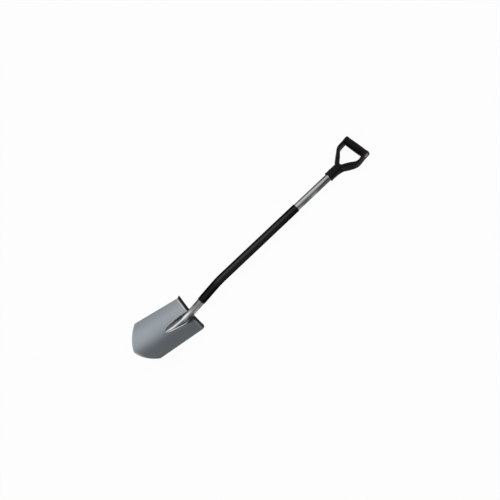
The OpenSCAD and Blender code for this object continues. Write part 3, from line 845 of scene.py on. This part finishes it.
nose = quarter(7)
end_in, end_r = wall_half * (1 - np.sin(nose)), wall_mid + wall_half * np.cos(nose)
middle = np.linspace(wall_half, whole - wall_half, 120)[1:-1]
outer_at = np.concatenate([end_in[::-1], middle, whole - end_in])
outer_r = np.concatenate([end_r[::-1], np.full(len(middle), sleeve_out), end_r])
wall_at = np.concatenate([outer_at, outer_at[-2::-1]])
wall_r = np.concatenate([outer_r, 2 * wall_mid - outer_r[-2::-1]])
print("sleeve length", whole.round(1))
sleeve = make_piece("black_sleeve", [rings(*along_crank(wall_at), wall_r)],
                    "shaft_sleeve", sleeve_plastic)


def sleeve_painted_shade(points, normals):
    """Painted shade of the sleeve: its top keeps its gloss, while on its sides, its underside and
    its two ends the colour darkens and the specular level drops."""
    # Painted shade at both ends, on the sides and on the underside.
    ends = 0.5 * ramp(-185 - points[:, 0], 30) + 0.35 * ramp(points[:, 0] - 150, 80)
    sleeve_side_shade = ramp(0.66 - normals[:, 2], 0.4) + ramp(normals[:, 1] + 0.12, 0.4)
    return -np.minimum(sleeve_side_shade + ends, 1)


set_wear_and_light(sleeve, sleeve_painted_shade)

# %% [markdown]
# ## Handle
# The handle is one plastic moulding: a socket over the tube, a little wider than deep, which flares
# into two flat arms, and a boss at each end of the crossbar. The arms fork in a round crotch, turn
# about their own length on the way out, and twist back until they stand square to the crossbar. A
# hand-made cage of faces could follow all that, but each part alone is a simple surface. They are
# put together as one mesh, which a voxel remesh fuses, and smoothing then softens every joint, as
# the radius of a mould does.

# %% Path of the arms
hand_half, arm_w, arm_depth = 51.0, 12.0, 33.0
fork_w, fork_depth, crotch_r = 18.5, 36.0, 18.5
arm_angle, arm_bend_r, arm_end, arm_toe = np.radians(40.0), 41.0, 32.0, np.radians(3.5)
fork_r = crotch_r + fork_w / 2
arm_low_x = (bar_reach - arm_end * np.cos(arm_toe)
             - arm_bend_r * (np.sin(arm_angle) + np.sin(arm_toe)))
arm_low_y = (hand_half + arm_w / 2 + arm_end * np.sin(arm_toe)
             - arm_bend_r * (np.cos(arm_toe) - np.cos(arm_angle)))
fork_x = arm_low_x - arm_low_y / np.tan(arm_angle) + fork_r / np.sin(arm_angle)
fork_len = fork_r * (np.pi / 2 - arm_angle)
arm_low_len = (arm_low_y - fork_r * np.cos(arm_angle)) / np.sin(arm_angle)
arm_bend_len = arm_bend_r * (arm_angle + arm_toe)
arm_len = fork_len + arm_low_len + arm_bend_len + arm_end
print("one arm from the crotch to the crossbar:", arm_len.round(1))

# %% Arm sections
arm_square, arm_extra, thin_past, thin_run, arm_short = 4.0, 2.0, 6.0, 26.0, 11.8
fork_turn, twist_from, crotch_lean, lean_run = np.radians(27.5), 0.7, 0.12, 24.0


def power(v, exponent):
    """Sign-keeping power that squares off an ellipse."""
    return np.sign(v) * np.abs(v) ** exponent


def arm_rings(run):
    """A squared ellipse carried round the U of the fork and both arms, by the distance from its
    middle. Width and depth ease from the fork's values to those beside the crossbar. The section
    is almost upright in the middle of the fork, turns about its path along the arms, and from the
    upper part of the straight run it eases back until it is square to the crossbar."""
    run = run[:, None]
    l, hand = np.abs(run), np.where(run < 0, -1.0, 1.0)
    fork = np.pi / 2 - np.clip(l / fork_r, 0, np.pi / 2 - arm_angle)
    bent = arm_angle - np.clip((l - fork_len - arm_low_len) / arm_bend_r, 0, arm_angle + arm_toe)
    low, end = np.clip(l - fork_len, 0, arm_low_len), np.clip(l - (arm_len - arm_end), 0, arm_end)
    x = (fork_x - fork_r * np.sin(fork) + low * np.cos(arm_angle)
         + arm_bend_r * (np.sin(arm_angle) - np.sin(bent)) + end * np.cos(arm_toe))
    y = (fork_r * np.cos(fork) + low * np.sin(arm_angle)
         + arm_bend_r * (np.cos(bent) - np.cos(arm_angle)) - end * np.sin(arm_toe))
    head = fork + bent - arm_angle
    part = ramp(l - fork_len / 2, arm_len - arm_end - fork_len / 2)
    mix = (1 + np.cos(np.pi * part)) / 2
    stout = arm_extra * eased_step((arm_len - arm_end + thin_past - l) / thin_run)
    w = (arm_w + stout + (fork_w - arm_w) * mix) / 2
    d = (arm_depth + (fork_depth - arm_depth) * mix) / 2
    twist_run = (1 - twist_from) * arm_low_len + arm_bend_len
    twist = 1 - eased_step((l - fork_len - twist_from * arm_low_len) / twist_run)
    lean_in = crotch_lean + (1 - crotch_lean) * eased_step(l / (fork_len + lean_run))
    lean = fork_turn * twist * lean_in
    around = full_turn(48)
    u = w * power(np.cos(around), 2 / arm_square)
    v = d * power(np.sin(around), 2 / arm_square)
    out = u * np.cos(lean) - v * np.sin(lean)
    front = u * np.sin(lean) + v * np.cos(lean)
    return from_handle(x - out * np.sin(head), hand * (y + out * np.cos(head)), front)


arms = capped(arm_rings(np.linspace(-1, 1, 161) * (arm_len - arm_short)))
print("sections along both arms:", len(arms) - 2)

# %% Flare of the socket
flare_r, flare_corner, flare_lap, flare_inset, socket_wide = 60.0, -2.5, 6.0, 0.1, 1.09
flare_deep, flare_thin, flare_sink, flare_squeeze, flare_square = 19.6, 12.5, 5.0, 0.3, 0.88
flare_run = flare_r * np.tan(arm_angle / 2)
flare_from, flare_to = flare_corner - flare_run, flare_corner + flare_run * np.cos(arm_angle)
flare_start = socket_r * socket_wide - flare_inset


def flare_rings(x):
    """Squared ellipses across the end of the socket: their half width follows an arc that leaves
    the side of the socket and meets the outside of the arms, their middle sinks from the socket's
    axis to the back, and their front narrows."""
    x = x[:, None]
    part = eased_step((x - flare_from) / (flare_to - flare_from))
    wide = flare_start + flare_r - circle_height(flare_r, np.maximum(x - flare_from, 0))
    deep = flare_deep + (flare_thin - flare_deep) * part
    middle = (1 - part) * -x * np.tan(handle_tilt) - flare_sink * part
    around = full_turn(64)
    u, v = power(np.cos(around), flare_square), power(np.sin(around), flare_square)
    squeeze = 1 - flare_squeeze * part * (1 + v) / 2
    return from_handle(x, wide * u * squeeze, middle + deep * v)


flare = capped(flare_rings(np.linspace(flare_from - flare_lap, flare_to, 40)))
print("flare from", flare_from.round(1), "to", flare_to.round(1))

# %% Socket
dome, round_in, stretch_over = 11.0, 17.0, 2.0


def spun(axial, radius, place, shape=2.0, count=72):
    """A profile of axial places and radii spun about an axis; a shape above 2 squares the circle
    off."""
    a = full_turn(count)
    full = (np.abs(np.cos(a)) ** shape + np.abs(np.sin(a)) ** shape) ** (-1 / shape)
    r = radius[:, None] * full
    return place(axial[:, None] + 0 * a, r * np.cos(a), r * np.sin(a))


def on_tube(u, y, z):
    """Socket frame to tool frame: the outside is stretched sideways, and the bore stays round."""
    stretch = 1 + (socket_wide - 1) * ramp(np.hypot(y, z) - round_in, stretch_over)
    return np.stack([upper_run + u, y * stretch, z], -1)


nose = quarter(10)[::-1]
shoulder = np.column_stack([socket_len + dome * np.sin(nose),
                            socket_r - dome + dome * np.cos(nose)])
collar = [[8.0, 19.95], [5.6, 20.05], [4.4, 20.6], [1.2, 20.6], [0.3, 20.3], [0.0, 19.5]]
bore = [[0.0, 17.0], [0.6, 16.3], [46.0, 16.2], [46.0, 0.0]]
profile = np.concatenate([[[socket_len + dome, 0.0]], shoulder, collar, bore])
socket = spun(profile[:, 0], profile[:, 1], on_tube)
print("socket profile of", len(profile), "points")

# %% Bosses and core of the crossbar
boss_half, boss_round, boss_square, boss_edge = 17.5, 3.0, 3.4, 0.6
seat_r, seat_deep, seat_edge, seat_flare = 10.9, 2.2, 0.2, 0.3
bar_half, core_half, core_r = hand_half + arm_w, hand_half + 3.0, 13.5


def on_bar(u, p, q):
    """Crossbar frame to tool frame: u along the bar to the left, p and q across it."""
    return from_handle(bar_reach + p, u, q)


corner = quarter(7)
boss_y = np.concatenate([bar_half - np.array([seat_deep, seat_deep, seat_edge, 0.0]),
                         bar_half - boss_round * (1 - np.cos(corner)),
                         hand_half + np.array([boss_edge, 0.0, 0.0])])
boss_r = np.concatenate([[0.0, seat_r, seat_r, seat_r + seat_flare],
                         boss_half - boss_round * (1 - np.sin(corner)),
                         [boss_half, boss_half - boss_edge, 0.0]])
bosses = [spun(boss_y, boss_r, lambda u, p, q: on_bar(hand * u, p, q), boss_square)
          for hand in (1, -1)]
core = spun(core_half * np.array([-1, -1, 1, 1]), core_r * np.array([0, 1, 1, 0]), on_bar)
print("bosses reach", bar_half, "to each side")

# %% One moulding
yoke = make_piece("handle_moulding", [arms, flare, socket, *bosses, core],
                  "handle_yoke", handle_plastic)
fuse = yoke.modifiers.new("fuse", "REMESH")
fuse.mode, fuse.voxel_size, fuse.use_smooth_shade = "VOXEL", 0.0008, True
soften = yoke.modifiers.new("soften", "SMOOTH")
soften.factor, soften.iterations = 0.5, 8
fused = yoke.evaluated_get(bpy.context.evaluated_depsgraph_get())
print("moulding faces", len(fused.data.polygons))

# %% [markdown]
# ## Grip and end plugs
# The soft grip is moulded over the crossbar, and a plug with a slightly domed head closes each end
# of it. Both are round, so a profile is spun about the crossbar, as on a lathe: the grip's radius
# follows a shallow bow, largest in the middle of the palm, and its ends roll in to a small lip. A
# plain cylinder would have neither.

# %% Grip
grip_half, grip_bore, lip_r, lip_deep = hand_half - 0.1, 13.6, 1.2, 3.5
lip_in, lip_drop = lip_r * (1 - np.cos(quarter(6))), lip_r * (1 - np.sin(quarter(6)))
palm = np.linspace(-1, 1, 70)[3:-3] * grip_half
grip_at = np.concatenate([[-grip_half], lip_in - grip_half, palm,
                          grip_half - lip_in[::-1], [grip_half]])
bow = grip_r + grip_swell * (1 - (grip_at / grip_half) ** 2)
drop = np.concatenate([[lip_deep], lip_drop, np.zeros(len(palm)), lip_drop[::-1], [lip_deep]])
skin = spun(np.concatenate([grip_at, [grip_half, -grip_half]]),
            np.concatenate([bow - drop, [grip_bore, grip_bore]]), on_bar, count=96)
make_piece("soft_grip", [np.concatenate([skin, skin[:1]])],
           "crossbar_grip", grip_rubber)

# %% End plugs
plug_r, plug_edge, head_deep, stem_r, stem_deep = 10.25, 0.9, 2.1, 8.88, 11.5
plug_in = np.concatenate([[0.0, 0.0, 0.05], plug_edge * (1 - np.cos(corner)),
                          [head_deep, head_deep, stem_deep, stem_deep]])
plug_radius = np.concatenate([[0.0, 5.5, 8.0], plug_r - plug_edge * (1 - np.sin(corner)),
                              [plug_r, stem_r, stem_r, 0.0]])
for hand, node in ((1, "grip_cap_left"), (-1, "grip_cap_right")):
    plug = spun(plug_in, plug_radius, lambda u, p, q: on_bar(hand * (bar_half - u), p, q), count=64)
    make_piece(node.replace("grip_cap", "end_plug"), [plug], node, cap_plastic)

# %% [markdown]
# ## Screw
# A screw from the back holds the handle on the tube. Its own solid is already right, with its
# countersunk head and cross recess, so it stays and only takes a finish.

# %% Screw finish
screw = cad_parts["handle_screw"]
screw.data.materials.clear()
screw.data.materials.append(screw_zinc)
print("screw finish:", screw.data.materials[0].name)
